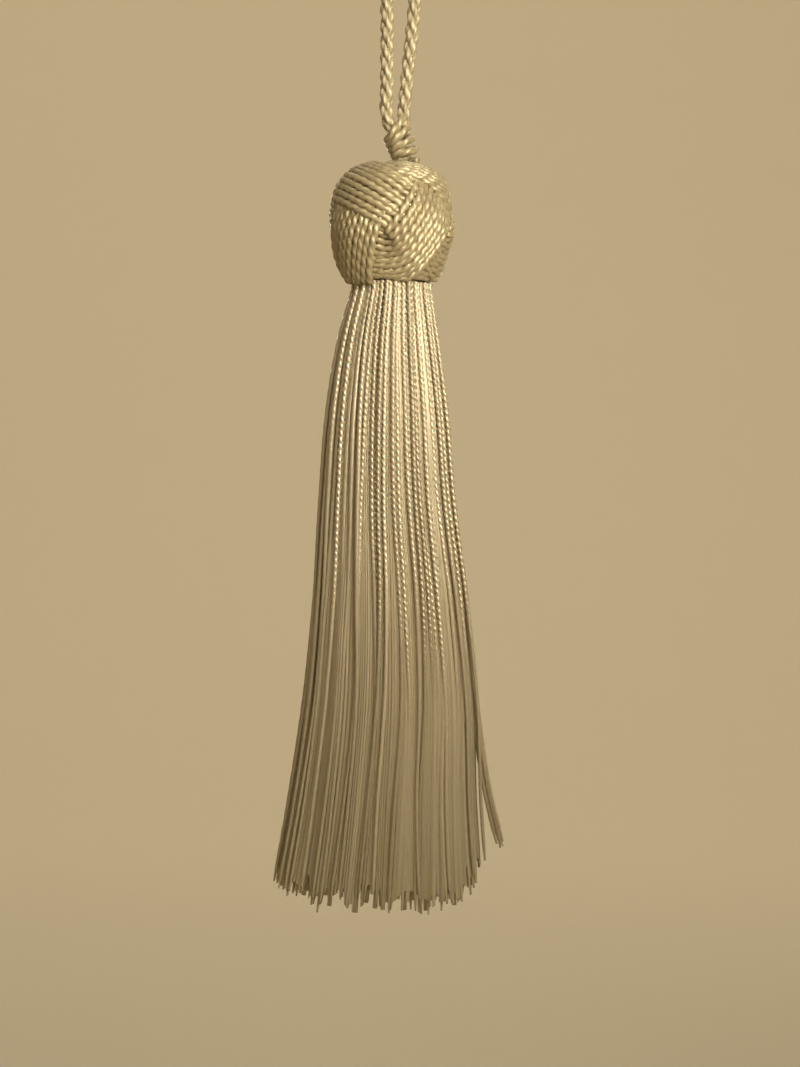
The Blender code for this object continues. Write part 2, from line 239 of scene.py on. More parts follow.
# Studio: a round sweep of paper, its floor below the tassel, and lights in metres and watts
SWEEP = {
    "floor_z": -210.0, "floor_rings": (0.0, 300.0, 600.0), "floor_radius": 700.0, "bend": 500.0,
    "bend_steps": 13, "wall_height": 1500.0, "sides": 96,
}
WARM = (1.0, 0.94, 0.79)
LIGHTS = (
    {"name": "top", "place": (-0.02, -0.11, 0.05), "target": (0.0, 0.0, -0.055), "size": (0.09, 0.05),
     "power": 0.045, "colour": WARM, "spread": 180.0},
    {"name": "key", "place": (0.086, -0.145, -0.020), "target": (0.0, 0.0, -0.047), "size": (0.13, 0.07),
     "power": 0.101, "colour": WARM, "spread": 80.0},
    {"name": "back_key", "place": (0.0, 0.19, -0.03), "target": (0.0, 0.0, -0.07), "size": (0.13, 0.07),
     "power": 0.075, "colour": (1.0, 0.94, 0.82), "spread": 80.0},
    {"name": "fill", "place": (-0.60, -0.70, 0.0), "target": (0.0, 0.0, -0.09), "size": (0.8, 0.8),
     "power": 0.13, "colour": (1.0, 0.93, 0.96), "spread": 180.0},
    {"name": "back", "place": (0.25, 0.55, 0.75), "target": (0.0, 0.0, -0.08), "size": (0.5, 0.5),
     "power": 0.8, "colour": (1.0, 0.92, 0.80), "spread": 180.0},
    {"name": "wash", "place": (0.0, 0.50, 0.75), "target": (0.0, 1.20, 0.10), "size": (0.8, 0.8),
     "power": 4.45, "colour": (1.0, 0.90, 0.73), "spread": 180.0},
    {"name": "front_wash", "place": (0.0, -0.50, 0.75), "target": (0.0, -1.20, 0.10), "size": (0.8, 0.8),
     "power": 1.3, "colour": (1.0, 0.90, 0.74), "spread": 180.0},
)
SKY_COLOUR = (1.0, 0.93, 0.80, 1.0)
SKY_STRENGTH = 0.09


def column(table, name):
    """One named column of a table of rows."""
    return np.array([row[name] for row in table])


def smooth_table(table, key, name, at):
    """Cubic Hermite curve through a named column.

    In a span, with u from 0 to 1, it is v + u r + u (1 - u) ((1 - u) (s - r) + u (r - e)). v is the value at
    the span's start, r the rise over the span, and s and e the slopes at its two ends times its width.
    """
    keys = column(table, key)
    values = column(table, name)
    slopes = np.gradient(values, keys)
    row = np.clip(np.searchsorted(keys, at) - 1, 0, len(keys) - 2)
    span = keys[row + 1] - keys[row]
    u = (at - keys[row]) / span
    rise = values[row + 1] - values[row]
    start_slope = slopes[row] * span - rise
    end_slope = rise - slopes[row + 1] * span
    return values[row] + u * rise + u * (1 - u) * ((1 - u) * start_slope + u * end_slope)


def ease(u):
    """0 below 0, 1 above 1, and 3u^2 - 2u^3 between."""
    u = np.clip(u, 0.0, 1.0)
    return u * u * (3.0 - 2.0 * u)


def unit(vectors):
    """Vectors divided by their lengths."""
    return vectors / np.linalg.norm(vectors, axis=-1, keepdims=True)


def grid_piece(name, points, around, along, tone, surface, capped=True):
    """A piece made of tubes, whose points have the axes tube, ring, side and place.

    Quads join ring to ring and side to side, and a flat cap closes each end. The UV map holds the share of a
    turn and the distance along, and the tone is kept as an attribute of the points.
    """
    tubes, rings, sides = points.shape[:3]
    index = np.arange(tubes * rings * sides).reshape(tubes, rings, sides)
    beside = np.roll(index, -1, axis=2)
    quads = np.stack([index[:, :-1], beside[:, :-1], beside[:, 1:], index[:, 1:]], axis=-1).reshape(-1, 4)
    caps = np.concatenate([index[:, 0, ::-1], index[:, -1]]).reshape(-1, sides)[: None if capped else 0]
    u = np.broadcast_to(around, (tubes, rings, sides))
    u_beside = u + np.ptp(u[0, 0]) / (sides - 1)
    v = np.broadcast_to(along[..., None] / UV_REPEAT, (tubes, rings, sides))
    quad_u = np.stack([u[:, :-1], u_beside[:, :-1], u_beside[:, 1:], u[:, 1:]], axis=-1)
    quad_v = np.stack([v[:, :-1], v[:, :-1], v[:, 1:], v[:, 1:]], axis=-1)
    cap_uv = np.stack([u.reshape(-1)[caps], v.reshape(-1)[caps]], axis=-1).reshape(-1, 2)
    uv = np.concatenate([np.stack([quad_u, quad_v], axis=-1).reshape(-1, 2), cap_uv])
    corners = np.concatenate([quads.reshape(-1), caps.reshape(-1)])
    starts = np.concatenate([np.arange(len(quads)) * 4, quads.size + np.arange(len(caps)) * sides])
    mesh = bpy.data.meshes.new(name)
    mesh.vertices.add(index.size)
    mesh.vertices.foreach_set("co", (points * MM).astype(np.float32).ravel())
    mesh.loops.add(len(corners))
    mesh.loops.foreach_set("vertex_index", corners.astype(np.int32))
    mesh.polygons.add(len(starts))
    mesh.polygons.foreach_set("loop_start", starts.astype(np.int32))
    mesh.uv_layers.new(name="Fibre").uv.foreach_set("vector", uv.astype(np.float32).ravel())
    tones = mesh.attributes.new("tone", "FLOAT", "POINT")
    tones.data.foreach_set("value", np.broadcast_to(tone, (tubes, rings, sides)).astype(np.float32).ravel())
    mesh.update(calc_edges=True)
    mesh.shade_smooth()
    mesh.materials.append(surface)
    piece = bpy.data.objects.new(name, mesh)
    bpy.context.collection.objects.link(piece)
    return piece


def distance_along(lines):
    """Running length of each line."""
    steps = np.linalg.norm(np.diff(lines, axis=1), axis=-1)
    return np.concatenate([np.zeros((len(lines), 1)), np.cumsum(steps, axis=1)], axis=1)


def carried(lines, outward, angles, radii, turn):
    """A section carried along lines.

    At each ring, side is the line's direction crossed with the outward one, and up is square to both side
    and line. A point is line + r (cos a up + sin a side), with a = angle + turn.
    """
    ahead = unit(np.gradient(lines, axis=1))
    side = unit(np.cross(ahead, outward))
    up = np.cross(side, ahead)
    a = angles + turn[..., None]
    across = (radii * np.cos(a))[..., None] * up[:, :, None, :]
    return lines[:, :, None, :] + across + (radii * np.sin(a))[..., None] * side[:, :, None, :]


def lobed_section(lobes, sides, depth):
    """Angles and relative radii of a section with round lobes: r = 1 - depth (1 - |cos(lobes a / 2)|)."""
    angles = np.arange(sides) / sides * 2 * math.pi
    return angles, 1.0 - depth * (1.0 - np.abs(np.cos(lobes * angles / 2)))


def turn_shares(sides):
    """The share of a turn at each side of a section."""
    return np.arange(sides) / sides


def scattered_tone(random, tone, strands):
    """A tone for each strand: the middle one plus a normal scatter."""
    return tone["middle"] + tone["scatter"] * random.standard_normal((strands, 1, 1))


def hex_colour(code):
    """A linear colour from an sRGB hex value."""
    parts = np.array([int(code[i:i + 2], 16) for i in (1, 3, 5)]) / 255.0
    linear = np.where(parts <= 0.04045, parts / 12.92, ((parts + 0.055) / 1.055) ** 2.4)
    return (*linear.tolist(), 1.0)


def add_node(tree, kind, values=None, links=None, **settings):
    """Adds a node with its settings, unlinked values and links from (node, output) pairs."""
    node = tree.nodes.new("ShaderNode" + kind)
    for name, value in settings.items():
        setattr(node, name, value)
    for name, value in (values or {}).items():
        node.inputs[name].default_value = value
    for name, (source, output) in (links or {}).items():
        tree.links.new(source.outputs[output], node.inputs[name])
    return node


def rayon(name, light, deep, roughness, fibres, bump):
    """Viscose rayon filament yarn, spun bright and twisted.

    Its smooth parallel fibres give the eye a silky gloss, drawn out across the lay, and fine streaks of
    tone along it. The pattern is stretched along the UV map's second axis, which runs with the fibres. Real
    filaments are about 0.02 mm, too fine to show, so the streaks are drawn as coarse as small bunches of
    them: fibres is their number round a strand.
    """
    made = bpy.data.materials.new(name)
    made.use_nodes = True
    tree = made.node_tree
    tree.nodes.clear()
    place = add_node(tree, "UVMap", uv_map="Fibre")
    scale = (fibres, STREAK_SCALE_ALONG, 1.0)
    stretch = add_node(tree, "Mapping", {"Scale": scale}, {"Vector": (place, "UV")})
    streaks = add_node(
        tree, "TexNoise", {"Scale": 1.0, "Detail": 2.0, "Roughness": 0.6}, {"Vector": (stretch, "Vector")}
    )
    tone = add_node(tree, "Attribute", attribute_name="tone")
    parts = {0: (streaks, "Fac"), 2: (tone, "Fac")}
    shade = add_node(tree, "Math", {1: STREAK_CONTRAST}, parts, operation="MULTIPLY_ADD")
    colour = add_node(tree, "ValToRGB", links={"Fac": (shade, "Value")})
    colour.color_ramp.elements[0].position = DEEP_TONE
    colour.color_ramp.elements[0].color = hex_colour(deep)
    colour.color_ramp.elements[1].position = LIGHT_TONE
    colour.color_ramp.elements[1].color = hex_colour(light)
    rough_range = {"To Min": roughness - SMOOTHER_BY, "To Max": roughness + ROUGHER_BY}
    gloss = add_node(tree, "MapRange", rough_range, {"Value": (streaks, "Fac")})
    depth = {"Strength": bump, "Distance": STREAK_RELIEF}
    relief = add_node(tree, "Bump", depth, {"Height": (streaks, "Fac")})
    across = add_node(tree, "Tangent", direction_type="UV_MAP", uv_map="Fibre")
    shader = add_node(
        tree,
        "BsdfPrincipled",
        {"IOR": 1.6, "Metallic": 0.35, "Anisotropic": 0.6, "Sheen Weight": 0.1, "Sheen Roughness": 0.4},
        {
            "Base Color": (colour, "Color"),
            "Roughness": (gloss, "Result"),
            "Normal": (relief, "Normal"),
            "Tangent": (across, "Tangent"),
        },
    )
    add_node(tree, "OutputMaterial", links={"Surface": (shader, "BSDF")})
    return made


def paper_backdrop_material():
    """Matt seamless paper, warm off-white, with a faint broad unevenness."""
    made = bpy.data.materials.new("matt_backdrop_paper")
    made.use_nodes = True
    tree = made.node_tree
    tree.nodes.clear()
    place = add_node(tree, "TexCoord")
    cloud = add_node(tree, "TexNoise", {"Scale": 1.5, "Detail": 1.0}, {"Vector": (place, "Object")})
    colour = add_node(tree, "ValToRGB", links={"Fac": (cloud, "Fac")})
    colour.color_ramp.elements[0].color = hex_colour("#DDD2B8")
    colour.color_ramp.elements[1].color = hex_colour("#E4DAC2")
    shader = add_node(tree, "BsdfPrincipled", {"Roughness": 0.9}, {"Base Color": (colour, "Color")})
    add_node(tree, "OutputMaterial", links={"Surface": (shader, "BSDF")})
    return made


def add_camera():
    """Looks along +Y at the photo's centre, rolled so that the tassel leans as it does in the photo."""
    data = bpy.data.cameras.new("camera")
    data.sensor_width = 36.0
    data.lens = data.sensor_width * CAMERA_DISTANCE / PHOTO_HEIGHT_MM
    data.clip_start = 0.01
    data.clip_end = 20.0
    camera = bpy.data.objects.new("camera", data)
    bpy.context.collection.objects.link(camera)
    camera.location = (VIEW_CENTRE_X * MM, -CAMERA_DISTANCE * MM, VIEW_CENTRE_Z * MM)
    camera.rotation_euler = (math.radians(90.0), -math.atan(CAMERA_ROLL), 0.0)
    bpy.context.scene.camera = camera


def add_area_light(row):
    """A soft light of a width and height, facing its target, with its rays kept within a spread."""
    data = bpy.data.lights.new(row["name"], "AREA")
    data.shape = "RECTANGLE"
    data.size, data.size_y = row["size"]
    data.energy = row["power"]
    data.color = row["colour"]
    data.spread = math.radians(row["spread"])
    light = bpy.data.objects.new(row["name"], data)
    bpy.context.collection.objects.link(light)
    light.location = row["place"]
    light.rotation_euler = (Vector(row["target"]) - light.location).to_track_quat("-Z", "Y").to_euler()
    light.visible_camera = False


def add_studio():
    """A round sweep of paper under and around the tassel, its lights, and a weak even sky.

    The sweep is a profile turned about the Z axis: a flat floor, a quarter circle and an upright wall. A
    close key from the front right shines on the head and the skirt's upper part, a smaller light does so
    from above, and another key stands behind. A fill from the front left and a light from high behind are
    wide and soft, and two washes light the paper before and behind the tassel.
    """
    turn = np.linspace(0.0, 2 * math.pi, SWEEP["sides"] + 1)[:-1]
    bend = np.linspace(0.0, math.pi / 2, SWEEP["bend_steps"])
    curve_radius = SWEEP["floor_radius"] + SWEEP["bend"] * np.sin(bend)
    curve_height = SWEEP["bend"] * (1.0 - np.cos(bend))
    floor_rings = np.array(SWEEP["floor_rings"])
    radius = np.concatenate([floor_rings, curve_radius, [SWEEP["floor_radius"] + SWEEP["bend"]]])
    height = np.concatenate([0.0 * floor_rings, curve_height, [SWEEP["wall_height"]]]) + SWEEP["floor_z"]
    x = radius[:, None] * np.cos(turn)
    y = radius[:, None] * np.sin(turn)
    points = np.stack([x, y, np.broadcast_to(height[:, None], x.shape)], axis=-1)[1:].reshape(-1, 3)
    rows = len(radius) - 1
    index = np.arange(rows * len(turn)).reshape(rows, len(turn))
    beside = np.roll(index, -1, axis=1)
    quads = np.stack([index[:-1], index[1:], beside[1:], beside[:-1]], axis=-1).reshape(-1, 4)
    mesh = bpy.data.meshes.new("backdrop")
    mesh.from_pydata((points * MM).tolist(), [], quads.tolist() + [index[0].tolist()])
    mesh.shade_smooth()
    mesh.materials.append(paper_backdrop_material())
    backdrop = bpy.data.objects.new("backdrop", mesh)
    bpy.context.collection.objects.link(backdrop)
    for row in LIGHTS:
        add_area_light(row)
    world = bpy.data.worlds.new("even_sky")
    world.use_nodes = True
    world.node_tree.nodes["Background"].inputs["Color"].default_value = SKY_COLOUR
    world.node_tree.nodes["Background"].inputs["Strength"].default_value = SKY_STRENGTH
    bpy.context.scene.world = world
    bpy.context.scene.view_settings.view_transform = "Standard"


def loop_route():
    """Points of the cord's middle line, from the left leg's foot over a half circle to the right leg's."""
    crown = LOOP_WIDTH / 2
    top_z = CORD_DIAMETER / 2
    route = [(LEFT_LEG_FOOT_X + LEFT_FOOT_SLANT, LOOP_FOOT_Z - LEG_SUNK), (LEFT_LEG_FOOT_X, LOOP_FOOT_Z)]
    route += [(LEFT_LEG_FOOT_X - LEFT_LEG_BOW, LOOP_FOOT_Z + LEG_STRAIGHT)]
    route += [(LEFT_LEG_MID_X, LEG_MID_Z), (-crown + LEFT_SHOULDER_IN, top_z - LOOP_SHOULDER)]
    for degrees in range(180, -1, -30):
        angle = math.radians(degrees)
        route.append((crown * math.cos(angle), top_z - crown * (1.0 - math.sin(angle))))
    route += [(crown + RIGHT_SHOULDER_OUT, top_z - LOOP_SHOULDER), (RIGHT_LEG_MID_X, LEG_MID_Z)]
    route += [(RIGHT_LEG_FOOT_X + RIGHT_LEG_BOW, LOOP_FOOT_Z + LEG_STRAIGHT)]
    route += [(RIGHT_LEG_FOOT_X, LOOP_FOOT_Z)]
    route += [(RIGHT_LEG_FOOT_X, LOOP_FOOT_Z - LEG_SUNK)]
    return np.array([(x, 0.0, z) for x, z in route])


def even_curve(route, step):
    """Evenly spaced points of a Catmull-Rom curve through the route, and the curve's length.

    Each span is a cubic in u, from 0 to 1, whose slope at a point of the route is half the step between that
    point's two neighbours.
    """
    ends = np.vstack([2 * route[0] - route[1], route, 2 * route[-1] - route[-2]])
    u = np.linspace(0.0, 1.0, ROUTE_SAMPLES, endpoint=False)[:, None]
    pieces = []
    for p0, p1, p2, p3 in zip(ends, ends[1:], ends[2:], ends[3:]):
        curve = 2 * p1 + (p2 - p0) * u + (2 * p0 - 5 * p1 + 4 * p2 - p3) * u**2
        pieces.append((curve + (3 * p1 - p0 - 3 * p2 + p3) * u**3) / 2)
    fine = np.vstack(pieces + [route[-1:]])
    along = distance_along(fine[None])[0]
    even = np.linspace(0.0, along[-1], int(round(along[-1] / step)) + 1)
    return np.stack([np.interp(even, along, fine[:, axis]) for axis in range(3)], axis=-1), along[-1]


def add_hanging_loop(surface):
    """Three plies wound round the loop's middle line.

    Each ply's line is the middle line moved out by a helix, and its lobed section turns the other way, as
    the threads in a ply do.
    """
    middle, length = even_curve(loop_route(), PLY_LAY / PLY_STEPS_PER_LAY)
    along = distance_along(middle[None])
    front = np.array([0.0, -1.0, 0.0])
    offset = (CORD_DIAMETER - PLY_DIAMETER) / 2
    start = np.arange(CORD_PLIES)[:, None] / CORD_PLIES
    turn = 2 * math.pi * (start - along / CORD_LAY)
    ahead = unit(np.gradient(middle, axis=0))
    side = unit(np.cross(ahead, front))
    up = np.cross(side, ahead)
    lines = middle + offset * (np.cos(turn)[..., None] * up + np.sin(turn)[..., None] * side)
    outward = lines - middle
    angles, radii = lobed_section(**PLY_SECTION)
    ply_turn = np.broadcast_to(2 * math.pi * along / PLY_LAY, turn.shape)
    points = carried(lines, outward, angles, radii * PLY_DIAMETER / 2 * PLY_SWELL, ply_turn)
    tone = scattered_tone(np.random.default_rng(SEED), PLY_TONE, CORD_PLIES)
    around = turn_shares(PLY_SECTION["sides"]) + start[:, :, None]
    piece = grid_piece("hanging_loop_plies", points, around, distance_along(lines), tone, surface)
    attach(piece, "root")
    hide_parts("hanging_loop")


def head_profile(arc):
    """The head's profile at distances from its pole, by a smooth curve through the table's rows.

    It gives the height and radius, the outward direction's parts up and out, and the profile's length. That
    direction is the curve's slope, taken over a short step each way and turned by a right angle.
    """
    drop = np.hypot(np.diff(column(HEAD_PROFILE, "height")), np.diff(column(HEAD_PROFILE, "radius")))
    keys = np.concatenate([[0.0], np.cumsum(drop)])
    rows = [dict(row, arc=key) for row, key in zip(HEAD_PROFILE, keys)]
    arc = np.clip(arc, 0.0, keys[-1])
    height = smooth_table(rows, "arc", "height", arc)
    radius = smooth_table(rows, "arc", "radius", arc)
    after = arc + PROFILE_STEP
    before = arc - PROFILE_STEP
    fall = smooth_table(rows, "arc", "height", after) - smooth_table(rows, "arc", "height", before)
    spread = smooth_table(rows, "arc", "radius", after) - smooth_table(rows, "arc", "radius", before)
    size = np.hypot(fall, spread)
    return height, radius, spread / size, -fall / size, keys[-1]


def head_points(arc, turn, depth, share=1.0):
    """Places under the head's surface, and their outward directions, for a pattern that leans.

    A point's direction from the head's centre is turned by the lean in the picture's plane, then by the nod
    about the X axis, both times a share, and read back as a distance from the pole and a turn.
    """
    lean = KNOT_LEAN * share
    nod = KNOT_NOD * share
    height, radius = head_profile(arc)[:2]
    x = radius * np.sin(turn) * math.cos(lean) - height * math.sin(lean)
    z = radius * np.sin(turn) * math.sin(lean) + height * math.cos(lean)
    y = -radius * np.cos(turn) * math.cos(nod) - z * math.sin(nod)
    z = -radius * np.cos(turn) * math.sin(nod) + z * math.cos(nod)
    rows = np.linspace(0.0, head_profile(np.zeros(1))[4], PROFILE_ROWS)
    row_height, row_radius = head_profile(rows)[:2]
    leaned = np.interp(np.arctan2(np.hypot(x, y), z), np.arctan2(row_radius, row_height), rows)
    height, radius, up, out, _ = head_profile(leaned)
    size = np.maximum(np.hypot(x, y), 1e-6)
    outward = np.stack([out * x / size, out * y / size, up], axis=-1)
    surface = np.stack([radius * x / size, radius * y / size, HEAD_CENTRE_Z + height], axis=-1)
    return surface - depth[..., None] * outward, outward


def knot_lines(offsets, t):
    """Middle lines of the knot's passes on the head, and the outward direction along them.

    Round the axis the lead's turn is leads t + shear cos(bights t) + rounding sin(2 bights t), and its
    distance from the pole is middle - swing cos(bights t). A pass lies beside the lead at a fixed offset. It
    is lifted where it crosses over another lead: falling leads go over near the top, and rising ones near
    the foot.
    """
    swing = KNOT_BIGHTS * t
    arc = KNOT_MIDDLE - KNOT_SWING * np.cos(swing)
    turn = KNOT_LEADS * t + KNOT_SHEAR * np.cos(swing) + KNOT_ROUNDING * np.sin(2 * swing) + KNOT_TURN
    radius = head_profile(arc)[1]
    slant = KNOT_SHEAR * np.sin(swing) - 2 * KNOT_ROUNDING * np.cos(2 * swing)
    turn_rate = KNOT_LEADS - KNOT_BIGHTS * slant
    along_turn = radius * turn_rate
    along_arc = KNOT_BIGHTS * KNOT_SWING * np.sin(swing)
    size = np.hypot(along_turn, along_arc)
    turn = turn - offsets * along_arc / size / np.maximum(radius, PASS_NARROWEST)
    arc = arc + offsets * along_turn / size
    over = np.clip(CROSSING_SHARPNESS * np.sin(2 * swing), -1.0, 1.0)
    return head_points(arc, turn, FINE_CORD / 2 + CROSSING_DEPTH * (1.0 - over) / 2)


def add_head(surface):
    """The knot's passes as two-ply cords, over windings of the same cord and a plain core.

    A winding is a spiral whose distance from the pole grows evenly with its turn. The core is the head's
    profile, moved in by a fixed depth and turned about the head's axis. The windings and, most of all, the
    core are given darker tones than the passes, as painted shade under the knot.
    """
    offsets = (np.arange(KNOT_PASSES) - (KNOT_PASSES - 1) / 2)[:, None] * PASS_SPACING
    rough = np.linspace(0.0, 2 * math.pi, KNOT_MEASURE_STEPS + 1)[None, :]
    length = distance_along(knot_lines(offsets, rough)[0])[:, -1]
    steps = int(round(length.mean() / FINE_LAY)) * STEPS_PER_LAY
    t = np.linspace(0.0, 2 * math.pi, steps + 1)[None, :]
    random = np.random.default_rng(SEED + 1)
    phase = random.uniform(0.0, 2 * math.pi, (KNOT_PASSES, 1))
    slow = PASS_WAVER["slow"] * np.sin(PASS_WAVER["slow_waves"] * t + phase)
    quick = PASS_WAVER["quick"] * np.sin(PASS_WAVER["quick_waves"] * t + 2 * phase)
    lines, outward = knot_lines(offsets + slow + quick, t)
    along = distance_along(lines)
    angles, radii = lobed_section(**FINE_SECTION)
    shares = turn_shares(FINE_SECTION["sides"])
    twist = -2 * math.pi * along / FINE_LAY
    points = carried(lines, outward, angles, radii * FINE_CORD / 2 * PASS_SWELL, twist)
    tone = scattered_tone(random, PASS_TONE, KNOT_PASSES)
    around = shares + np.arange(KNOT_PASSES)[:, None, None] * PASS_STREAK_SHIFT
    pieces = [grid_piece("head_knot_cords", points, around, along, tone, surface)]
    for winding in WINDINGS:
        share = np.linspace(0.0, 1.0, int(winding["turns"] * WINDING_STEPS_PER_TURN))[None, :]
        arc = winding["start"] + (winding["end"] - winding["start"]) * share
        spin = 2 * math.pi * winding["turns"] * share
        lines, outward = head_points(arc, spin, np.full(arc.shape, winding["depth"]), winding["lean"])
        along = distance_along(lines)
        points = carried(lines, outward, angles, radii * FINE_CORD / 2, -2 * math.pi * along / FINE_LAY)
        name = "head_" + winding["name"] + "_winding"
        # The windings lie deeper than the passes and are darker: painted shade under the knot
        pieces.append(grid_piece(name, points, shares, along, WINDING_PAINTED_SHADE_TONE, surface))
    arc_end = head_profile(np.zeros(1))[4]
    arc = np.linspace(0.0, arc_end, HEAD_CORE_ROWS)[1:, None]
    height, radius, up, out, _ = head_profile(arc)
    spin = -np.linspace(0.0, 2 * math.pi, HEAD_CORE_COLUMNS, endpoint=False)[None, :]
    core_radius = np.maximum(radius - HEAD_CORE_DEPTH * out, CORE_POLE_RADIUS)
    rings = np.stack([
        core_radius * np.sin(spin),
        -core_radius * np.cos(spin),
        HEAD_CENTRE_Z + height - HEAD_CORE_DEPTH * up + 0.0 * spin,
    ], axis=-1)[None]
    around = turn_shares(HEAD_CORE_COLUMNS) * CORE_STREAKS
    along = np.broadcast_to(arc.T, (1, len(arc)))
    # The core's dark tone is painted shade in the gaps between the cords
    pieces.append(grid_piece("head_core", rings, around, along, CORE_PAINTED_SHADE_TONE, surface))
    for piece in pieces:
        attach(piece, "root")
        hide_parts("head")


def add_neck(surface):
    """The whipping: one cord wound down the feet of the legs, each turn slanting less than the one above.

    The middle line is a helix on a leaning, oval cone; its slant is a tilt of each turn in the plane X, Z.
    """
    t = np.linspace(0.0, 1.0, int(NECK["turns"] * NECK["steps_per_turn"]))[None, :]
    spin = 2 * math.pi * (NECK["turns"] * t + NECK["start_turn"])
    centre_x = NECK["top_x"] + NECK["shift"] * t
    half_width = NECK["half_width"] + NECK["widening"] * t
    half_depth = NECK["half_depth"] + NECK["deepening"] * t
    tilt = NECK["top_tilt"] * (1.0 - t) + NECK["foot_tilt"] * t
    across = half_width * np.cos(spin)
    z = NECK["top_z"] - NECK["height"] * t + tilt * across / half_width
    lines = np.stack([centre_x + across, -half_depth * np.sin(spin), z], axis=-1)
    outward = np.stack([np.cos(spin) / half_width, -np.sin(spin) / half_depth, 0.0 * spin], axis=-1)
    along = distance_along(lines)
    angles, radii = lobed_section(**FINE_SECTION)
    twist = -2 * math.pi * along / FINE_LAY
    points = carried(lines, outward, angles, radii * FINE_CORD / 2 * NECK_SWELL, twist)
    shares = turn_shares(FINE_SECTION["sides"])
    piece = grid_piece("neck_whipping", points, shares, along, NECK_TONE, surface)
    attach(piece, "root")
    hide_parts("loop_neck")


def cut_line(side):
    """How much shorter threads are cut at a share of the width: a power of it, steeper on the right."""
    left = SIDE_SHORTENING["left"] * np.clip(-side, 0.0, None) ** SIDE_SHORTENING["left_power"]
    right = SIDE_SHORTENING["right"] * np.clip(side, 0.0, None) ** SIDE_SHORTENING["right_power"]
    return left + right


def thread_table(random):
    """Angle, share of the outline at the root and foot, drift, length and waver phases of each thread.

    Thread i starts at share sqrt((i + 0.5) / n) and i golden angles round, which packs the neck evenly. At
    the foot the share is raised to a power below 1, which crowds the threads towards the outside. A length
    is the full one less the cut line at the thread's foot, plus a scatter and a wave, one for each lock.
    """
    number = np.arange(THREADS)
    golden = math.pi * (3.0 - math.sqrt(5.0))
    angle = (number * golden) % (2 * math.pi) - math.pi
    root_share = np.sqrt((number + 0.5) / THREADS)
    foot_share = root_share**FOOT_CROWDING + random.uniform(-FOOT_SCATTER, FOOT_SCATTER, THREADS)
    drift = random.normal(0.0, DRIFT, THREADS)
    length = THREAD_LENGTH - cut_line(foot_share * np.cos(angle))
    length += random.uniform(-LENGTH_SCATTER, LENGTH_SCATTER, THREADS)
    length += LOCKS["longer"] * np.cos(LOCKS["count"] * angle)
    return {
        "angle": angle,
        "root_share": root_share,
        "foot_share": foot_share,
        "drift": drift,
        "length": length,
        "phase": random.uniform(0.0, 2 * math.pi, THREADS),
    }


def thread_lines(table, drop):
    """Middle lines of threads at the given drops.

    A thread's place is the outline's oval at its drop, times its share, at its angle. The share eases from
    the root's to the foot's. The angle drifts, and gathers towards the middles of the locks by
    gather / count * sin(count * (angle - phase)), where the phase sways with the drop. A crease pushes the
    threads apart on the front, by the tanh of the distance from it times a bell curve. Each thread wavers
    by slow sines of its own, and a stray one is thrown to the right by a power of its share of the way.
    """
    spread = ease(drop / SPREAD_DROP)
    share = table["root_share"][:, None] + (table["foot_share"] - table["root_share"])[:, None] * spread
    angle = table["angle"][:, None] + table["drift"][:, None] * ease(drop / THREAD_LENGTH)
    phase = LOCKS["sway"] * np.sin(drop / LOCKS["wave"] + LOCKS["lag"] * share)
    gather = LOCKS["gather"] * ease((drop - LOCKS["start"]) / THREAD_LENGTH)
    angle = angle - gather / LOCKS["count"] * np.sin(LOCKS["count"] * (angle - phase))
    read = np.clip(drop, 0.0, None)
    x = smooth_table(SKIRT_OUTLINE, "drop", "x", read)
    half_width = smooth_table(SKIRT_OUTLINE, "drop", "half_width", read) + EDGE_ALLOWANCE
    half_depth = smooth_table(SKIRT_OUTLINE, "drop", "half_depth", read)
    wave = table["phase"][:, None]
    waver = WAVER["reach"] * spread
    x = x + half_width * share * np.cos(angle) + waver * np.sin(drop / WAVER["side_wave"] + wave)
    y = half_depth * share * np.sin(angle) + waver * np.sin(drop / WAVER["depth_wave"] + 2.0 * wave)
    crease_x = CREASE["x_top"] + (CREASE["x_foot"] - CREASE["x_top"]) * drop / THREAD_LENGTH
    away = (x - crease_x) / CREASE["reach"]
    on_front = ease(-2.0 * y / half_depth)
    push = CREASE["push"] * np.tanh(CREASE["steepness"] * away) * np.exp(-away**2) * on_front
    x = x + push * ease((drop - CREASE["start"]) / CREASE["grows_over"])
    if "stray" in table:
        fling = np.clip((drop - STRAY["start"]) / (STRAY["length"] - STRAY["start"]), 0.0, 1.0)
        x = x + np.where(table["stray"][:, None], STRAY["throw"] * fling ** STRAY["curl"], 0.0)
    return np.stack([x, y, SKIRT_TOP_Z - drop], axis=-1)


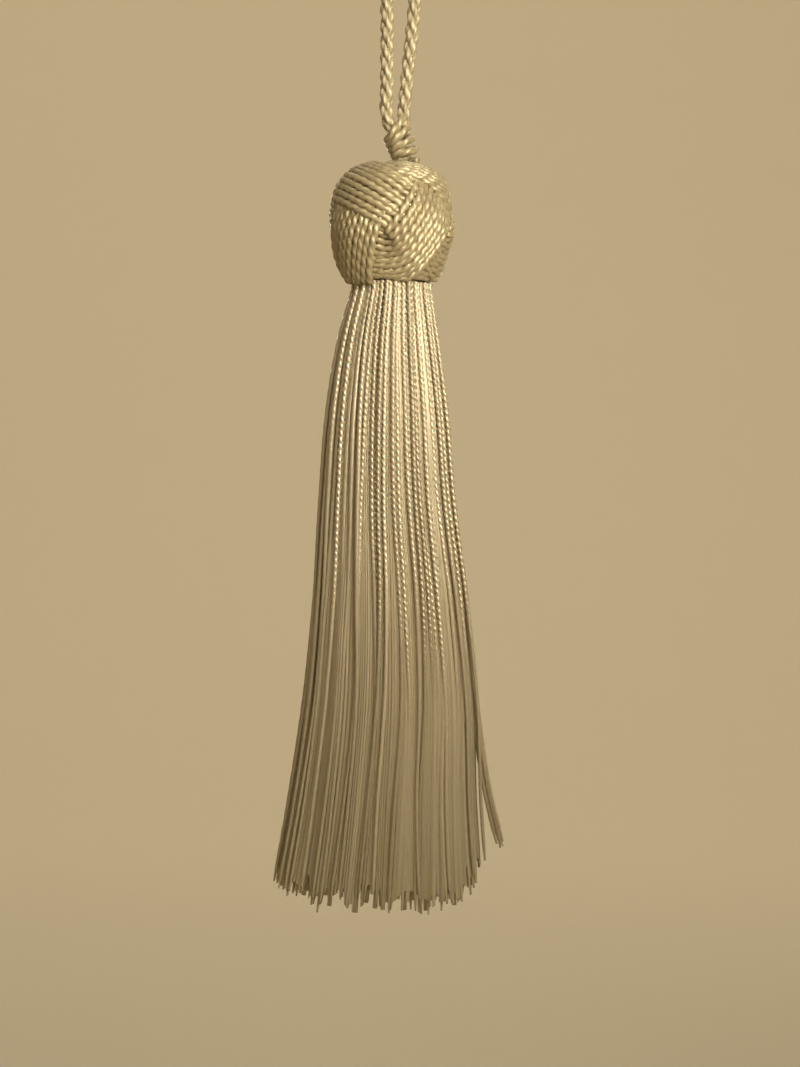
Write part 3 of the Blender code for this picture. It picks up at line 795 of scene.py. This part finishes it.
def add_under_layer(random, surface):
    """The dense threads right under the outer ones, as one ribbed curtain.

    Each column of the grid is a thread's line at a fixed share of the outline. The share rises and falls
    round the curtain, once for each thread in it and, at the foot, once for each lock. Each thread has its
    own length. Its tone is darker than the outer threads', as painted shade in the gaps between them, and
    lightens towards the foot.
    """
    ribs = UNDER_LAYER["threads"]
    rib = np.repeat(np.arange(ribs), len(RIB_PROFILE))
    ripple = np.tile(RIB_PROFILE, ribs) * UNDER_LAYER["ripple"]
    columns = len(RIB_PROFILE) * ribs
    angle = -np.arange(columns) / columns * 2 * math.pi
    lock = np.cos(LOCKS["count"] * angle)
    scatter = UNDER_LAYER["length_scatter"]
    length = UNDER_LAYER["length"] - cut_line(np.cos(angle)) + LOCKS["longer"] * lock
    length += random.uniform(-scatter, scatter, ribs)[rib]
    table = {
        "angle": angle,
        "root_share": UNDER_LAYER["root_share"] + ripple,
        "foot_share": UNDER_LAYER["foot_share"] + ripple + UNDER_LAYER["lock_ripple"] * lock,
        "drift": np.zeros(columns),
        "phase": np.zeros(columns),
    }
    share = np.linspace(0.0, 1.0, UNDER_LAYER["rings"])[None, :]
    drop = (length[:, None] + ROOT_RISE) * share - ROOT_RISE
    points = thread_lines(table, drop).transpose(1, 0, 2)[None]
    along = np.broadcast_to(drop[:1], (1, UNDER_LAYER["rings"]))
    # Darker than the outer threads: painted shade in the gaps between them, lessening towards the foot
    tone = UNDER_PAINTED_SHADE_TONE["scatter"] * random.standard_normal(ribs)[rib] + UNDER_PAINTED_SHADE_TONE["middle"]
    tone = tone + UNDER_PAINTED_SHADE_TONE["foot_rise"] * ease(along / THREAD_LENGTH)[..., None]
    around = np.arange(columns) / len(RIB_PROFILE)
    return grid_piece("skirt_under_layer", points, around, along, tone, surface, capped=False)


def loosened(threads, drop, random):
    """How far the twist has opened along each thread, and the relative radius of the opened yarn.

    The twist opens by an ease from the thread's own start. Starts are scattered, and most threads on the
    left start near the head. The opened yarn thins from its top to its foot.
    """
    left = ease((LOOSENING["left_from"] - np.cos(threads["angle"])) / LOOSENING["left_over"])
    left = left * (random.random(len(left)) < LOOSENING["left_share"])
    start = LOOSENING["start"] - LOOSENING["left_rise"] * left
    start = start + LOOSENING["scatter"] * random.standard_normal(len(left))
    thin = ease(drop / LOOSENING["thins_by"])
    radius = LOOSENING["top_radius"] + (LOOSENING["foot_radius"] - LOOSENING["top_radius"]) * thin
    return ease((drop - start[:, None]) / LOOSENING["over"])[..., None], radius[..., None]


def tip_taper(threads, drop):
    """The radius near a cut end, as a share: 1 above the tip, and 1 - taper at its end, by an ease."""
    left_over = threads["length"][:, None] - drop
    return 1.0 - TIP["taper"] * ease(1.0 - left_over / TIP["length"])


def rows_of(table, chosen):
    """The chosen rows of a table of columns."""
    return {name: values[chosen] for name, values in table.items()}


def add_skirt(surface):
    """The outer threads as twisted two-ply yarns, in a few pieces, and the inner ones as plain round yarns.

    A thread is its section carried along its line. The twisted section blends into the opened, round one
    where the twist loosens. The threads nearest the right edge, at angle 0, make the stray lock. The inner
    threads are given a darker tone than the outer ones, as painted shade inside the bundle.
    """
    random = np.random.default_rng(SEED + 2)
    table = thread_table(random)
    table["stray"] = np.zeros(THREADS, bool)
    nearness = np.abs(table["angle"]) - STRAY["outer_pull"] * table["root_share"]
    edge = np.argsort(nearness)[: STRAY["threads"]]
    table["stray"][edge] = True
    table["length"][edge] = STRAY["length"] + np.linspace(-STRAY["shorter"], STRAY["longer"], len(edge))
    outer = np.arange(THREADS) >= THREADS - TWISTED_THREADS
    outer |= table["stray"]
    forward = np.array([0.0, -1.0, 0.0])
    angles, twisted = lobed_section(**THREAD_SECTION)
    steps = int(round(THREAD_LENGTH / THREAD_LAY * THREAD_STEPS_PER_TURN))
    share = np.linspace(0.0, 1.0, steps + 1)[None, :]
    chosen = np.flatnonzero(outer)
    pieces = [add_under_layer(random, surface)]
    by_angle = chosen[np.argsort(table["angle"][chosen])]
    for number, rows in enumerate(np.array_split(by_angle, THREAD_PIECES)):
        threads = rows_of(table, rows)
        drop = (threads["length"][:, None] + ROOT_RISE) * share - ROOT_RISE
        lines = thread_lines(threads, drop)
        along = distance_along(lines)
        start = random.uniform(0.0, 2 * math.pi, (len(rows), 1))
        lay = THREAD_LAY * random.uniform(1.0 - LAY_SPREAD, 1.0 + LAY_SPREAD, (len(rows), 1))
        turn = start - 2 * math.pi * along / lay
        loose, opened = loosened(threads, drop, random)
        radii = twisted * (1.0 - loose) + opened * loose
        radii = radii * tip_taper(threads, drop)[..., None]
        points = carried(lines, forward, angles, radii * THREAD_DIAMETER / 2, turn)
        tone = scattered_tone(random, THREAD_TONE, len(rows))
        around = turn_shares(THREAD_SECTION["sides"]) + start[:, :, None]
        pieces.append(grid_piece(f"skirt_threads_{number + 1}", points, around, along, tone, surface))
    threads = rows_of(table, ~outer)
    share = np.linspace(0.0, 1.0, INNER_STEPS)[None, :]
    drop = (threads["length"][:, None] + ROOT_RISE) * share - ROOT_RISE
    lines = thread_lines(threads, drop)
    shares = turn_shares(INNER_SIDES)
    radius = THREAD_DIAMETER / 2 * INNER_THINNESS
    points = carried(lines, forward, shares * 2 * math.pi, radius, np.zeros(drop.shape))
    # The inner threads are darker than the outer ones: painted shade inside the bundle
    tone = scattered_tone(random, INNER_PAINTED_SHADE_TONE, len(drop))
    pieces.append(grid_piece("skirt_inner_threads", points, shares, distance_along(lines), tone, surface))
    for piece in pieces:
        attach(piece, "root")
        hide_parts("skirt")


add_camera()

# Bright viscose rayon in its three makes: the thick cord, the fine cord and the soft thread of the skirt.
# The two cords differ from the thread in gloss and fibres, and their darker colours are painted shade on the
# loop and the head.
cord_rayon = rayon(
    "bright_rayon_twisted_cord", light="#C1B492", deep="#887857", roughness=0.48, fibres=22.0, bump=0.5
)
fine_rayon = rayon(
    "bright_rayon_fine_cord", light="#C3B48E", deep="#877552", roughness=0.40, fibres=16.0, bump=0.5
)
thread_rayon = rayon(
    "bright_rayon_thread", light="#DACDAE", deep="#917F5F", roughness=0.30, fibres=9.0, bump=0.4
)

add_hanging_loop(cord_rayon)
add_neck(fine_rayon)
add_head(fine_rayon)
add_skirt(thread_rayon)
add_studio()
